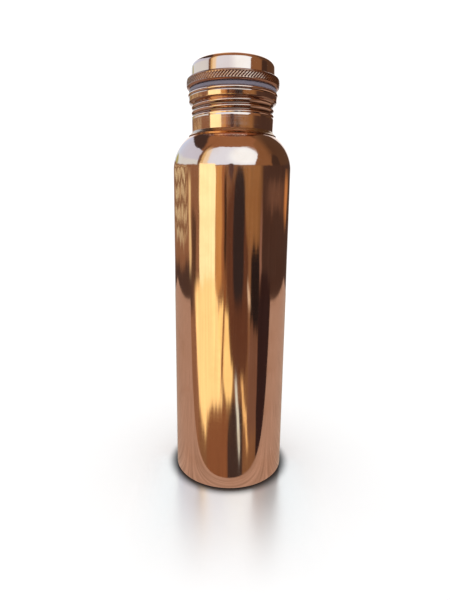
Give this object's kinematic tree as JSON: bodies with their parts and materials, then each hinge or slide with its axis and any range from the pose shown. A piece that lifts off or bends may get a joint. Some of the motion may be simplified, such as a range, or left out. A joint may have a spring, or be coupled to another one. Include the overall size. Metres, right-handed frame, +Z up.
{
  "type": "water bottle",
  "caption": "Tall copper water bottle with a rounded shoulder, a roll-threaded neck and a knurled plug-type screw cap sealed by a silicone ring.",
  "frame": {"origin": "centre of the base, on the plane that the bottle stands on", "axes": "+Z up along the bottle's axis, towards the cap; -Y is the side seen first; +X completes a right-handed set"},
  "size_m": [0.074, 0.074, 0.2648],
  "materials": {
    "body_copper": "polished copper",
    "base_copper": "drawn copper, satin",
    "braze": "brazing alloy, satin",
    "neck_copper": "polished copper",
    "silicone": "moulded grey silicone, matt",
    "plug_copper": "spun copper, satin",
    "knurled_copper": "diamond-knurled copper",
    "cap_copper": "polished copper"
  },
  "bodies": {
    "bottle": {"body_shell": "body_copper", "base_pan": "base_copper", "base_braze_ring": "braze", "neck_collar": "neck_copper", "neck_braze_ring": "braze"},
    "seal": {"sealing_ring": "silicone"},
    "cap": {"threaded_plug": "plug_copper", "plug_disc": "plug_copper", "knurled_ring": "knurled_copper", "cap_shell": "cap_copper"}
  },
  "joints": [
    {"name": "cap_lift", "type": "slide", "parent": "bottle", "child": "seal", "axis": [0, 0, 1], "range_m": [0, 0.01576]},
    {"name": "cap_turn", "type": "hinge", "parent": "seal", "child": "cap", "pos_m": [0, 0, 0.24675], "axis": [0, 0, 1], "range_deg": [0, 1800]}
  ],
  "couplings": [
    {"joint": "cap_lift", "follows": "cap_turn", "m_per_rad": 0.00050134}
  ]
}
